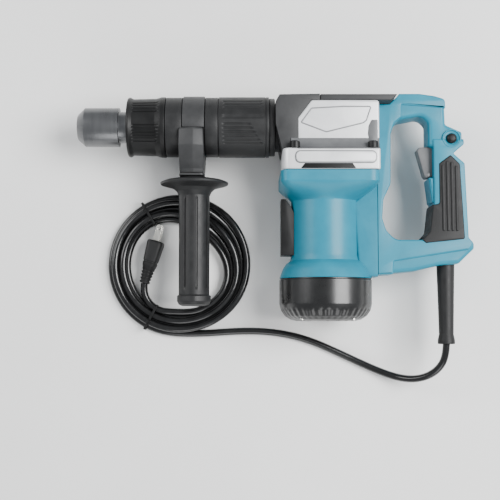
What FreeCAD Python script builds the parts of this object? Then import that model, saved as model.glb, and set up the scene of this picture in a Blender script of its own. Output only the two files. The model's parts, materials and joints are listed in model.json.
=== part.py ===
"""Demolition hammer lying on its side, in millimetres.

X runs from the tool's nose (-X) to its D-handle (+X), Y runs along the motor towards the gear
housing, and +Z is up.  The tool rests on Z = 0.  Its bit axis and its motor axis both lie in
the middle plane, at Z = mid_z.
"""
import FreeCAD, Part
import math
import os
import re
import Sketcher

DRIVING_SIZES = {
    # whole tool
    "mid_z": 47, "bit_y": 83.5, "motor_x": 52,
    # nose, tool holder and change ring
    "nose_front": -201, "nose_radius": 20, "nose_end": -159, "neck_radius": 16,
    "holder_radius": 19, "holder_end": -97, "socket_across_flats": 17,
    "guide_bore_radius": 10.2, "guide_bore_end": -176, "hex_end": -118, "bolt_bore_radius": 12,
    "ring_front": -149.4, "ring_rear": -110.6, "ring_radius": 31, "ring_waist_radius": 28.5,
    "ring_bore_radius": 19.3, "ring_pocket_radius": 25, "ring_pocket_end": -131,
    "ring_spring_radius": 22.2, "ring_spring_wire": 1,
    # barrel
    "barrel_front": -110.3, "collar_radius": 30.5, "collar_rear": -57, "barrel_radius": 28,
    "barrel_bore": 21, "barrel_neck_radius": 25, "barrel_rear": 23, "sleeve_rear": -5.2,
    # side handle
    "side_x": -81.8, "saddle_top": 78, "band_half": 11, "groove_radius": 28.5, "band_radius": 31.6,
    "block_bottom": 34, "disc_y": 25.6, "disc_radius": 35, "grip_radius": 15.6,
    "grip_end": -99.9, "stud_radius": 4, "stud_top": 52, "stud_end": -60,
    # hammer mechanism
    "cylinder_radius": 18.5, "cylinder_bore": 15.5, "cylinder_front": -60, "cylinder_rear": 50,
    "slider_radius": 15.45, "groove_floor": 12.7, "seal_thickness": 1.35,
    "crank_x": 78.3, "crank_throw": 11, "crank_pin_radius": 5, "wrist_x": 29,
    "wrist_radius": 3, "rod_half": 5,
    # gear housing and its covers
    "flange_low": 34, "flange_high": 55, "block_half": 37, "housing_top": 104.3,
    "housing_rear": 103.6, "housing_front": 23, "cover_top": 110.8,
    # motor
    "seam_y": -72, "cap_radius": 47, "cap_end": -115, "waist_radius": 34.6,
    "field_bore": 31, "shaft_radius": 5, "shaft_end": 64.5, "bearing_radius": 11, "running_gap": 0.05,
    # handle
    "shell_half": 18, "seam_x": 103.8, "lock_x": 178.9, "lock_y": 69.1, "lock_radius": 5,
    "trigger_pin_x": 157, "trigger_pin_y": 33.5, "trigger_half": 8,
    "guard_x": 174.3, "guard_top": -50, "guard_tip": -138.3, "guard_radius": 9,
    # cord
    "cord_radius": 3.75, "coil_x": -99.8, "coil_y": -56, "coil_outer": 76, "coil_inner_x": -103,
    "coil_inner_y": -57.8, "coil_inner": 49.5, "coil_height": 15,
}

doc = FreeCAD.newDocument("demolition_hammer")
sheet = doc.addObject("Spreadsheet::Sheet", "Sizes")
for row, (alias, number) in enumerate(DRIVING_SIZES.items(), start=1):
    sheet.set("A%d" % row, alias)
    sheet.set("B%d" % row, str(number))
    sheet.setAlias("B%d" % row, alias)
doc.recompute()
size = {alias: float(getattr(sheet, alias)) for alias in DRIVING_SIZES}

BIT = ("0", "bit_y", "mid_z")            # a point on the bit axis, which runs along X
MOTOR = ("motor_x", "0", "mid_z")        # a point on the motor axis, which runs along Y
CRANK = ("crank_x", "0", "mid_z")        # a point on the crank axis, which runs along Y
SIDE = ("side_x", "0", "mid_z")          # a point on the side grip's axis, which runs along Y
ORIGIN = ("0", "0", "0")
TURN_TO = {"x": ((0, 1, 0), 90), "y": ((1, 0, 0), -90), "z": ((0, 0, 1), 0)}
PLANES = {"x": "YZ_Plane", "y": "XZ_Plane", "z": "XY_Plane"}
nodes = {}


# ---------------------------------------------------------------- building blocks

def cells(text):
    """Turns a formula of sheet names into an expression that FreeCAD can bind."""
    def prefixed(match):
        word = match.group()
        return "Sizes." + word if word in DRIVING_SIZES else word
    return re.sub(r"[a-z_]+", prefixed, str(text))


def keep(name, item):
    """Names an object as one of the sub-parts that are written out."""
    item.Label = name
    nodes[name] = item
    return item


def place(item, point, along="z"):
    """Binds an item's place, with its own Z turned to run along the given axis."""
    direction, angle = TURN_TO[along]
    turn = FreeCAD.Rotation(FreeCAD.Vector(*direction), angle)
    item.Placement = FreeCAD.Placement(FreeCAD.Vector(0, 0, 0), turn)
    for letter, text in zip("xyz", point):
        item.setExpression(".Placement.Base." + letter, cells(text))


def block(name, x, y, z):
    """A box from (low, high) pairs."""
    item = doc.addObject("Part::Box", name)
    for side, (low, high) in zip(("Length", "Width", "Height"), (x, y, z)):
        item.setExpression(side, cells("(%s) - (%s)" % (high, low)))
    place(item, [low for low, high in (x, y, z)])
    return item


def rod(name, along, radius, start, end, centre):
    """A round bar along an axis from start to end."""
    item = doc.addObject("Part::Cylinder", name)
    item.setExpression("Radius", cells(radius))
    item.setExpression("Height", cells("(%s) - (%s)" % (end, start)))
    point = list(centre)
    point["xyz".index(along)] = "(%s) + (%s)" % (centre["xyz".index(along)], start)
    place(item, point, along)
    return item


def joined(name, *items):
    item = doc.addObject("Part::MultiFuse", name)
    item.Shapes = list(items)
    return item


def less(name, base, *tools):
    """The base with every tool cut out of it."""
    item = doc.addObject("Part::Cut", name)
    item.Base = base
    item.Tool = tools[0] if len(tools) == 1 else joined(name + "_cutters", *tools)
    return item


def group(name, items):
    """Separate solids that share one node."""
    item = doc.addObject("Part::Compound", name)
    item.Links = list(items)
    return keep(name, item)


def plane_of(body, normal):
    return [f for f in body.Origin.OriginFeatures if f.Role == PLANES[normal]][0]


def new_sketch(body, normal, offset):
    """A sketch on one of the body's own planes, moved by a bound offset."""
    sketch = body.newObject("Sketcher::SketchObject", body.Name + "_sketch")
    sketch.AttachmentSupport = (plane_of(body, normal), "")
    sketch.MapMode = "FlatFace"
    for letter, text in zip("xyz", offset):
        sketch.setExpression("AttachmentOffset.Base." + letter, cells(text))
    return sketch


def bound_outline(sketch, points):
    """Straight lines whose corners are held by constraints bound to the sheet."""
    count = len(points)
    spots = [FreeCAD.Vector(math.cos(6.28 * i / count), math.sin(6.28 * i / count), 0) * 50
             for i in range(count)]
    for i in range(count):
        sketch.addGeometry(Part.LineSegment(spots[i], spots[(i + 1) % count]), False)
    for i in range(count):
        sketch.addConstraint(Sketcher.Constraint("Coincident", i, 2, (i + 1) % count, 1))
    for i, corner in enumerate(points):
        for kind, text, start in zip(("DistanceX", "DistanceY"), corner, spots[i]):
            held = sketch.addConstraint(Sketcher.Constraint(kind, i, 1, start))
            sketch.setExpression("Constraints[%d]" % held, cells(text))


def rounded_outline(points):
    """Lines with tangent arcs: each corner is (x, y) or (x, y, radius)."""
    corners = [(FreeCAD.Vector(p[0], p[1], 0), p[2] if len(p) > 2 else 0) for p in points]
    ends = []
    for i, (corner, radius) in enumerate(corners):
        before = (corners[i - 1][0] - corner).normalize()
        after = (corners[(i + 1) % len(corners)][0] - corner).normalize()
        half = before.getAngle(after) / 2
        reach = radius / math.tan(half)
        middle = (before + after).normalize() * (radius / math.sin(half) - radius)
        ends.append((corner + before * reach, corner + middle, corner + after * reach))
    edges = []
    for i, (entry, middle, leave) in enumerate(ends):
        if corners[i][1]:
            edges.append(Part.Arc(entry, middle, leave))
        following = ends[(i + 1) % len(ends)][0]
        if leave.distanceToPoint(following) > 0.001:
            edges.append(Part.LineSegment(leave, following))
    return edges


def turned(name, along, outline, centre):
    """A solid of revolution; its outline is (place along the axis, radius) pairs."""
    body = doc.addObject("PartDesign::Body", name)
    sketch = new_sketch(body, "z", centre)
    lengthways = along == "x"
    bound_outline(sketch, outline if lengthways else [(r, a) for a, r in outline])
    turn = body.newObject("PartDesign::Revolution", name + "_turn")
    turn.Profile = sketch
    turn.ReferenceAxis = (sketch, ["H_Axis" if lengthways else "V_Axis"])
    turn.Angle = 360
    return body


def ring(name, along, inner, outer, start, end, centre):
    outline = [(start, inner), (end, inner), (end, outer), (start, outer)]
    return turned(name, along, outline, centre)


def plate(name, normal, outline, start, end, centre=ORIGIN):
    """An outline drawn across an axis and made thick along it, from start to end."""
    body = doc.addObject("PartDesign::Body", name)
    x, y, z = centre
    reverse = normal == "y"
    offset = {"z": (x, y, start), "y": (x, z, "-(%s)" % start), "x": (y, z, start)}[normal]
    sketch = new_sketch(body, normal, offset)
    sketch.addGeometry(rounded_outline(outline), False)
    pad = body.newObject("PartDesign::Pad", name + "_pad")
    pad.Profile = sketch
    pad.setExpression("Length", cells("(%s) - (%s)" % (end, start)))
    pad.Reversed = reverse
    return body


def spring(name, along, radius, wire, start, end, turns, centre):
    """A round-wire coil spring from start to end."""
    height = end - start
    path = Part.Wire(Part.makeLongHelix(height / turns, height, radius).Edges)
    circle = Part.makeCircle(wire, FreeCAD.Vector(radius, 0, 0), FreeCAD.Vector(0, 1, 0))
    item = doc.addObject("Part::Feature", name)
    item.Shape = path.makePipeShell([Part.Wire(circle)], True, True)
    point = list(centre)
    point["xyz".index(along)] += start
    direction, angle = TURN_TO[along]
    turn = FreeCAD.Rotation(FreeCAD.Vector(*direction), angle)
    item.Placement = FreeCAD.Placement(FreeCAD.Vector(*point), turn)
    return keep(name, item)


def toothed_outline(teeth, tip, root):
    """A gear's outline: each tooth takes four corners, and its flanks lean inwards."""
    corners = []
    for tooth in range(teeth):
        for radius, share in ((root, -0.30), (tip, -0.17), (tip, 0.17), (root, 0.30)):
            angle = 2 * math.pi * (tooth + share) / teeth
            corners.append((radius * math.cos(angle), radius * math.sin(angle)))
    return corners


# ---------------------------------------------------------------- nose and barrel

def make_tool_holder():
    outline = [("nose_front", "0"), ("nose_front", "13"), ("nose_front + 7.4", "nose_radius"),
               ("nose_end", "nose_radius"), ("nose_end", "neck_radius"), ("-150", "neck_radius"),
               ("-150", "23"), ("-148", "23"), ("-148", "holder_radius"),
               ("-106.9", "holder_radius"), ("-106.9", "20.9"), ("holder_end", "20.9"),
               ("holder_end", "0")]
    solid = turned("holder_solid", "x", outline, BIT)
    guide = rod("holder_guide", "x", "guide_bore_radius", "nose_front - 1", "guide_bore_end", BIT)
    hexagon = doc.addObject("Part::Prism", "holder_hexagon")
    hexagon.Polygon = 6
    hexagon.setExpression("Circumradius", cells("socket_across_flats / 2 / cos(30)"))
    hexagon.setExpression("Height", cells("hex_end - guide_bore_end + 1"))
    place(hexagon, ("guide_bore_end - 1", "bit_y", "mid_z"), "x")
    bolt_bore = rod("holder_bolt_bore", "x", "bolt_bore_radius", "hex_end", "holder_end + 1", BIT)
    pin_slot = block("holder_pin_slot", ("-130.2", "-121.8"), ("bit_y + 6", "bit_y + 21"),
                     ("mid_z - 10.3", "mid_z + 10.3"))
    keep("tool_holder", less("tool_holder", solid, guide, hexagon, bolt_bore, pin_slot))
    pin_centre = ("-126", "bit_y + 10.6", "mid_z")
    keep("retaining_pin", rod("retaining_pin", "z", "4", "-10", "10", pin_centre))


def make_change_ring():
    outline = [("ring_front", "ring_pocket_radius"), ("ring_front", "ring_radius - 0.8"),
               ("ring_front + 2.5", "ring_radius - 0.3"), ("ring_front + 6", "ring_waist_radius"),
               ("ring_rear - 9", "ring_waist_radius + 0.6"), ("ring_rear - 3.5", "ring_radius"),
               ("ring_rear", "ring_radius"), ("ring_rear", "ring_bore_radius"),
               ("ring_pocket_end", "ring_bore_radius"), ("ring_pocket_end", "ring_pocket_radius")]
    keep("change_ring", turned("change_ring", "x", outline, BIT))
    spring("ring_spring", "x", size["ring_spring_radius"], size["ring_spring_wire"],
           -146.8, -132.2, 3.5, (0, size["bit_y"], size["mid_z"]))


def make_barrel():
    outline = [("barrel_front", "holder_radius + 0.1"), ("barrel_front", "collar_radius"),
               ("side_x - band_half - 0.5", "collar_radius"),
               ("side_x - band_half - 0.5", "groove_radius"),
               ("side_x + band_half + 0.5", "groove_radius"),
               ("side_x + band_half + 0.5", "collar_radius"), ("collar_rear", "collar_radius"),
               ("collar_rear", "barrel_radius"), ("sleeve_rear", "barrel_radius"),
               ("sleeve_rear", "29.5"), ("0.6", "29.5"), ("0.6", "barrel_neck_radius"),
               ("barrel_rear", "barrel_neck_radius"), ("barrel_rear", "barrel_bore"),
               ("-107", "barrel_bore"), ("-107", "holder_radius + 0.1")]
    keep("barrel", turned("barrel", "x", outline, BIT))
    keep("barrel_sleeve", ring("barrel_sleeve", "x", "barrel_radius", "31", "collar_rear + 0.2",
                               "sleeve_rear", BIT))


# ---------------------------------------------------------------- side handle

def make_side_handle():
    low_x = "side_x - band_half"
    high_x = "side_x + band_half"
    band_ring = ring("band_ring", "x", "groove_radius + 0.05", "band_radius", low_x, high_x, BIT)
    lower_half = block("band_lower_half", ("side_x - 20", "side_x + 20"),
                       ("bit_y - 40", "saddle_top"), ("mid_z - 40", "mid_z + 40"))
    keep("clamp_band", less("clamp_band", band_ring, lower_half))
    top = size["saddle_top"]
    saddle = [(top, -36, 1), (top, 36, 1), (60, 36, 2), (38, 22, 2), (34, 20, 1), (34, -20, 1),
              (38, -22, 2), (60, -36, 2)]
    solid = plate("saddle_solid", "x", saddle, "side_x - 14.5", "side_x + 10.8",
                  ("0", "0", "mid_z"))
    seat = rod("saddle_seat", "x", "groove_radius + 0.05", low_x, high_x, BIT)
    front_relief = rod("saddle_front_relief", "x", "collar_radius + 0.4", "side_x - 20", low_x,
                       BIT)
    stud_hole = rod("saddle_stud_hole", "y", "stud_radius", "20", "stud_top", SIDE)
    keep("clamp_block", less("clamp_block", solid, seat, front_relief, stud_hole))
    keep("clamp_stud", rod("clamp_stud", "y", "stud_radius", "stud_end", "stud_top", SIDE))
    grip_outline = [("block_bottom - 0.3", "stud_radius + 0.1"), ("block_bottom - 0.3", "13"),
                    ("disc_y + 2", "disc_radius - 1"), ("disc_y", "disc_radius"),
                    ("disc_y - 2", "disc_radius - 1"), ("disc_y - 8", "18"),
                    ("disc_y - 13", "grip_radius"), ("-90.6", "grip_radius"),
                    ("-90.6", "grip_radius + 1.1"), ("-95.5", "grip_radius + 1.1"),
                    ("grip_end", "grip_radius - 4"), ("grip_end", "0"), ("stud_end - 1", "0"),
                    ("stud_end - 1", "stud_radius + 0.1")]
    keep("side_grip", turned("side_grip", "y", grip_outline, SIDE))


# ---------------------------------------------------------------- hammer mechanism

def make_seal(name, at):
    """An O-ring that rides in its slider's groove."""
    seal = doc.addObject("Part::Torus", name)
    seal.setExpression("Radius1", cells("slider_radius - seal_thickness"))
    seal.setExpression("Radius2", cells("seal_thickness"))
    place(seal, (at, "bit_y", "mid_z"), "x")
    keep(name, seal)


def make_mechanism():
    keep("cylinder", ring("cylinder", "x", "cylinder_bore", "cylinder_radius", "cylinder_front",
                          "cylinder_rear", BIT))
    keep("cylinder_guide", ring("cylinder_guide", "x", "cylinder_radius", "barrel_bore",
                                "cylinder_front", "cylinder_front + 10", BIT))
    bolt = [("-113.9", "0"), ("-113.9", "8"), ("-110", "bolt_bore_radius - 0.05"),
            ("-90", "bolt_bore_radius - 0.05"), ("-90", "15"), ("-84", "15"), ("-84", "9"),
            ("-66", "9"), ("-66", "0")]
    keep("impact_bolt", turned("impact_bolt", "x", bolt, BIT))
    striker = [("-52", "0"), ("-52", "8"), ("-38", "8"), ("-38", "slider_radius"),
               ("-27.5", "slider_radius"), ("-27.5", "groove_floor"), ("-24.5", "groove_floor"),
               ("-24.5", "slider_radius"), ("-12", "slider_radius"), ("-12", "0")]
    keep("striker", turned("striker", "x", striker, BIT))
    make_seal("striker_seal", "-26")
    piston = [("12", "0"), ("12", "slider_radius"), ("14.5", "slider_radius"),
              ("14.5", "groove_floor"), ("17.5", "groove_floor"), ("17.5", "slider_radius"),
              ("34", "slider_radius"), ("34", "11"), ("20", "11"), ("20", "0")]
    cup = turned("piston_cup", "x", piston, BIT)
    wrist = ("wrist_x", "bit_y", "mid_z")
    wrist_hole = rod("piston_wrist_hole", "y", "wrist_radius", "-20", "20", wrist)
    keep("piston", less("piston", cup, wrist_hole))
    make_seal("piston_seal", "16")
    keep("wrist_pin", rod("wrist_pin", "y", "wrist_radius", "-13", "13", wrist))
    pin_x = "crank_x - crank_throw"
    crank_end = (pin_x, "bit_y", "mid_z")
    small = rod("rod_small_end", "y", "6", "-rod_half", "rod_half", wrist)
    big = rod("rod_big_end", "y", "9", "-rod_half", "rod_half", crank_end)
    shank = block("rod_shank", ("wrist_x + 2", pin_x), ("bit_y - 3", "bit_y + 3"),
                  ("mid_z - 4", "mid_z + 4"))
    small_hole = rod("rod_small_hole", "y", "wrist_radius", "-20", "20", wrist)
    big_hole = rod("rod_big_hole", "y", "crank_pin_radius + 0.5", "-20", "20", crank_end)
    blank = joined("rod_blank", small, big, shank)
    keep("connecting_rod", less("connecting_rod", blank, small_hole, big_hole))


def make_crank():
    shaft = rod("crank_journal", "y", "7", "40", "66", CRANK)
    web = rod("crank_web", "y", "18", "66", "72", CRANK)
    pin = rod("crank_pin", "y", "crank_pin_radius", "72", "bit_y - rod_half - 0.5",
              ("crank_x - crank_throw", "0", "mid_z"))
    keep("crankshaft", joined("crankshaft", shaft, web, pin))
    wheel = plate("gear_wheel", "y", toothed_outline(29, 21.6, 19.4), "57", "65", CRANK)
    bore = rod("gear_bore", "y", "7", "50", "70", CRANK)
    keep("crank_gear", less("crank_gear", wheel, bore))
    keep("crank_bearing", ring("crank_bearing", "y", "7 + running_gap", "13", "42", "53", CRANK))


# ---------------------------------------------------------------- gear housing and covers

FLANGE_BOLTS = [(x, z) for x in ("19.5", "96.5") for z in ("mid_z + 42", "mid_z - 42")]


def make_gear_housing():
    low = "mid_z - block_half"
    high = "mid_z + block_half"
    rear = size["housing_rear"]
    side_view = [(23, 54), (rear, 54), (rear, size["housing_top"], 1),
                 (36.5, size["housing_top"], 2), (23, 86.5, 2)]
    upper = plate("housing_upper", "z", side_view, low, high)
    flange_plan = [(7.5, -47, 8), (rear, -47, 2), (rear, 47, 2), (7.5, 47, 8)]
    flange = plate("housing_flange", "y", flange_plan, "flange_low", "flange_high",
                   ("0", "0", "mid_z"))
    chamber = block("crank_chamber", ("56", "101"), ("56", "housing_top + 1"),
                    ("mid_z - 24", "mid_z + 24"))
    pinion_room = rod("pinion_room", "y", "8", "56", "68", MOTOR)
    cylinder_seat = rod("cylinder_seat", "x", "cylinder_radius + 0.1", "20", "60", BIT)
    bearing_seat = rod("armature_bearing_seat", "y", "bearing_radius", "33", "48", MOTOR)
    shaft_hole = rod("armature_shaft_hole", "y", "6", "47", "57", MOTOR)
    crank_seat = rod("crank_bearing_seat", "y", "13", "42", "57", CRANK)
    journal_room = rod("crank_journal_room", "y", "8", "39", "43", CRANK)
    bolt_holes = [rod("flange_hole_%d" % i, "y", "2.6", "33", "56", (x, "0", z))
                  for i, (x, z) in enumerate(FLANGE_BOLTS)]
    keep("gear_housing", less("gear_housing", joined("housing_blank", upper, flange), chamber,
                              pinion_room, cylinder_seat, bearing_seat, shaft_hole, crank_seat,
                              journal_room, *bolt_holes))
    bolts = []
    for i, (x, z) in enumerate(FLANGE_BOLTS):
        head = rod("bolt_head_%d" % i, "y", "5", "flange_high", "flange_high + 7", (x, "0", z))
        shank = rod("bolt_shank_%d" % i, "y", "2.5", "24", "flange_high", (x, "0", z))
        bolts.append(joined("flange_bolt_%d" % i, head, shank))
    group("flange_bolts", bolts)


def make_covers():
    top = size["cover_top"]
    front = [(0.8, 103.5, 3), (4.5, top - 0.6, 2), (44.8, top), (44.8, size["housing_top"] + 0.1),
             (36.4, size["housing_top"] + 0.1), (22.9, 86.6), (22.9, 55.3), (7, 55.3), (0.8, 81)]
    solid = plate("front_cover_solid", "z", front, "mid_z - 36", "mid_z + 36")
    bore = rod("front_cover_bore", "x", "barrel_neck_radius + 0.05", "0", "24", BIT)
    mouth = rod("front_cover_mouth", "x", "29.6", "-1", "0.8", BIT)
    cylinder_room = rod("front_cover_cylinder_room", "x", "cylinder_radius + 0.1", "20", "45",
                        BIT)
    keep("front_cover", less("front_cover", solid, bore, mouth, cylinder_room))
    strip = [(45, size["housing_top"] + 0.1), (45, top), (122.3, top),
             (116.2, size["housing_top"] + 0.1)]
    keep("top_cover", plate("top_cover", "z", strip, "mid_z - 35", "mid_z + 35"))


# ---------------------------------------------------------------- motor

VENT_SLOTS = 20
SCREW_CIRCLE = 36
END_SCREWS = [("motor_x + %f" % (SCREW_CIRCLE * math.cos(math.radians(angle))), "0",
               "mid_z + %f" % (SCREW_CIRCLE * math.sin(math.radians(angle))))
              for angle in (45, 135, 225, 315)]


def make_motor_shells():
    outline = [("seam_y", "0"), ("seam_y", "cap_radius"), ("seam_y + 7", "cap_radius"),
               ("seam_y + 14", "cap_radius - 5"), ("seam_y + 20", "waist_radius"),
               ("-6", "waist_radius"), ("1", "37.5"), ("8", "42"), ("18", "cap_radius"),
               ("24", "56"), ("flange_low", "74"), ("flange_low", "0")]
    bowl = turned("housing_bowl", "y", outline, MOTOR)
    flange_plan = [(5.5, -47, 9), (103.3, -47, 2), (103.3, 47, 2), (5.5, 47, 9)]
    envelope = plate("housing_envelope", "y", flange_plan, "seam_y - 1", "flange_low + 1",
                     ("0", "0", "mid_z"))
    outer = doc.addObject("Part::Common", "housing_outer")
    outer.Base = bowl
    outer.Tool = envelope
    rear_rib = plate("housing_rear_rib", "z", [(70, 24), (103.3, 24), (103.3, -71, 1),
                                               (80, -71, 1), (75, -60)],
                     "mid_z - shell_half", "mid_z + shell_half")
    field_room = rod("field_room", "y", "field_bore", "seam_y - 5", "flange_low + 5", MOTOR)
    bolt_holes = [rod("housing_hole_%d" % i, "y", "2.6", "24", "35", (x, "0", z))
                  for i, (x, z) in enumerate(FLANGE_BOLTS)]
    screw_holes = [rod("housing_screw_hole_%d" % i, "y", "2.2", "-74", "-60", spot)
                   for i, spot in enumerate(END_SCREWS)]
    keep("motor_housing", less("motor_housing", joined("motor_housing_blank", outer, rear_rib),
                               field_room, *bolt_holes, *screw_holes))
    cap = [("seam_y - 0.2", "43.5"), ("seam_y - 0.2", "cap_radius"), ("-99", "cap_radius"),
           ("-105.5", "45.4"), ("-110.5", "41.5"), ("-113.8", "36"), ("cap_end", "29"),
           ("cap_end", "0"), ("-108.2", "0"), ("-108.2", "bearing_radius"),
           ("-98.5", "bearing_radius"), ("-98.5", "14.5"), ("-111", "14.5"), ("-111", "34"),
           ("-106", "40"), ("-98", "43.5")]
    solid = turned("cap_solid", "y", cap, MOTOR)
    slots = []
    for i in range(VENT_SLOTS):
        slot = block("cap_slot_%d" % i, ("motor_x + 18", "motor_x + 33"), ("-117", "-110"),
                     ("mid_z - 1.4", "mid_z + 1.4"))
        pivot = FreeCAD.Vector(size["motor_x"], 0, size["mid_z"])
        turn = FreeCAD.Rotation(FreeCAD.Vector(0, 1, 0), 360.0 * i / VENT_SLOTS)
        doc.recompute()
        spun = doc.addObject("Part::Feature", "cap_slot_turned_%d" % i)
        spun.Shape = slot.Shape
        spun.Placement = FreeCAD.Placement(pivot, turn) * FreeCAD.Placement(
            pivot * -1, FreeCAD.Rotation()) * slot.Placement
        slots.append(spun)
    cap_holes = [rod("cap_screw_hole_%d" % i, "y", "2.2", "-118", "-105", spot)
                 for i, spot in enumerate(END_SCREWS)]
    keep("motor_end_cover", less("motor_end_cover", solid, *slots, *cap_holes))
    group("end_cover_screws", [rod("end_screw_%d" % i, "y", "2.1", "-114", "-61", spot)
                               for i, spot in enumerate(END_SCREWS)])
    grille_block = block("grille_block", ("6.5", "34"), ("-49", "8"), ("mid_z - 13", "mid_z + 13"))
    waist = rod("grille_waist", "y", "waist_radius + 0.05", "-60", "-5", MOTOR)
    bowl_room = turned("grille_bowl_room", "y",
                       [("-6.5", "0"), ("-6.5", "waist_radius + 0.05"), ("0.6", "37.7"),
                        ("7.6", "42.3"), ("9", "42.9"), ("9", "0")], MOTOR)
    keep("vent_grille", less("vent_grille", grille_block, waist, bowl_room))


def make_motor_parts():
    keep("field_core", ring("field_core", "y", "19.4", "field_bore - running_gap", "-50", "0",
                            MOTOR))
    group("field_windings", [ring("field_winding_low", "y", "20", "29", "-60", "-50", MOTOR),
                             ring("field_winding_high", "y", "20", "29", "0", "8", MOTOR)])
    shaft = turned("shaft_solid", "y", [("-107", "0"), ("-107", "shaft_radius"),
                                        ("53", "shaft_radius"), ("55", "3.6"),
                                        ("shaft_end", "3.6"), ("shaft_end", "0")], MOTOR)
    pinion = plate("pinion_teeth", "y", toothed_outline(6, 4.5, 3.4), "56", "shaft_end", MOTOR)
    keep("armature_shaft", joined("armature_shaft", shaft, pinion))
    keep("armature_core", ring("armature_core", "y", "shaft_radius", "18.6", "-48", "-2", MOTOR))
    group("armature_windings", [ring("armature_winding_low", "y", "shaft_radius", "16", "-58",
                                     "-48", MOTOR),
                                ring("armature_winding_high", "y", "shaft_radius", "16", "-2",
                                     "6", MOTOR)])
    keep("commutator", ring("commutator", "y", "shaft_radius", "12", "-88", "-70", MOTOR))
    hub = ring("fan_hub", "y", "shaft_radius", "9", "10", "21", MOTOR)
    disc = ring("fan_disc", "y", "8", "28", "19", "21", MOTOR)
    keep("fan", joined("fan", hub, disc))
    gap = "shaft_radius + running_gap"
    group("armature_bearings",
          [ring("armature_bearing_low", "y", gap, "bearing_radius", "-107", "-99", MOTOR),
           ring("armature_bearing_high", "y", gap, "bearing_radius", "38", "48", MOTOR)])
    brush_plate = ring("brush_plate", "y", "16", "43", "-94", "-90", MOTOR)
    plate_holes = [rod("brush_plate_hole_%d" % i, "y", "2.2", "-95", "-89", spot)
                   for i, spot in enumerate(END_SCREWS)]
    keep("brush_ring", less("brush_ring", brush_plate, *plate_holes))
    holders = []
    brushes = []
    for side in (-1, 1):
        reach = sorted((14 * side, 34 * side))
        span = ("motor_x + %d" % reach[0], "motor_x + %d" % reach[1])
        tube = block("holder_tube_%d" % side, span, ("-90", "-79"), ("mid_z - 6", "mid_z + 6"))
        inside = sorted((13 * side, 32 * side))
        hollow = block("holder_hollow_%d" % side,
                       ("motor_x + %d" % inside[0], "motor_x + %d" % inside[1]),
                       ("-88.1", "-80.9"), ("mid_z - 4.1", "mid_z + 4.1"))
        holders.append(less("brush_holder_%d" % side, tube, hollow))
        carbon = sorted((12.1 * side, 26 * side))
        brushes.append(block("carbon_brush_%d" % side,
                             ("motor_x + %.1f" % carbon[0], "motor_x + %.1f" % carbon[1]),
                             ("-88", "-81"), ("mid_z - 4", "mid_z + 4")))
    group("brush_holders", holders)
    group("carbon_brushes", brushes)


# ---------------------------------------------------------------- D-handle

HANDLE_OUTLINE = [(104, -69.5, 1), (104, 104.4), (116.4, 104.4), (123.0, 111), (126.5, 115),
                  (147, 115, 8), (162, 112.8, 6), (172.9, 109.5, 4), (173.5, 84, 3),
                  (191.3, 77, 3), (191.7, 63.5, 3), (180.5, 54, 1.5), (192, 44, 3),
                  (195.0, -31.5, 4), (201, -36.5, 3), (201, -42.5, 3), (185, -58, 6),
                  (166, -59.3, 6), (141, -65.3)]
HAND_OPENING = [(124, 88, 10), (148, 92.5, 9), (155.5, 86, 7), (155.5, 62, 3), (160.5, 60, 2),
                (160.5, -24, 3), (150, -33.7, 4), (121, -33.7, 12), (112, -24, 10),
                (108.2, -12, 8), (109.4, 7, 8), (116.9, 23, 10), (117.4, 74, 12)]
GRIP_OUTLINE = [(161.5, 27, 1.5), (163, 43, 2), (177.5, 52.5, 2), (187, 43, 3), (191, -33, 2),
                (149.5, -37.5, 2), (155.7, -26, 4), (155.7, 27, 1.5)]
HANDLE_SCREWS = [("111", "97"), ("163", "99"), ("111", "-58"), ("150", "-50"), ("190", "-41")]


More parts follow.
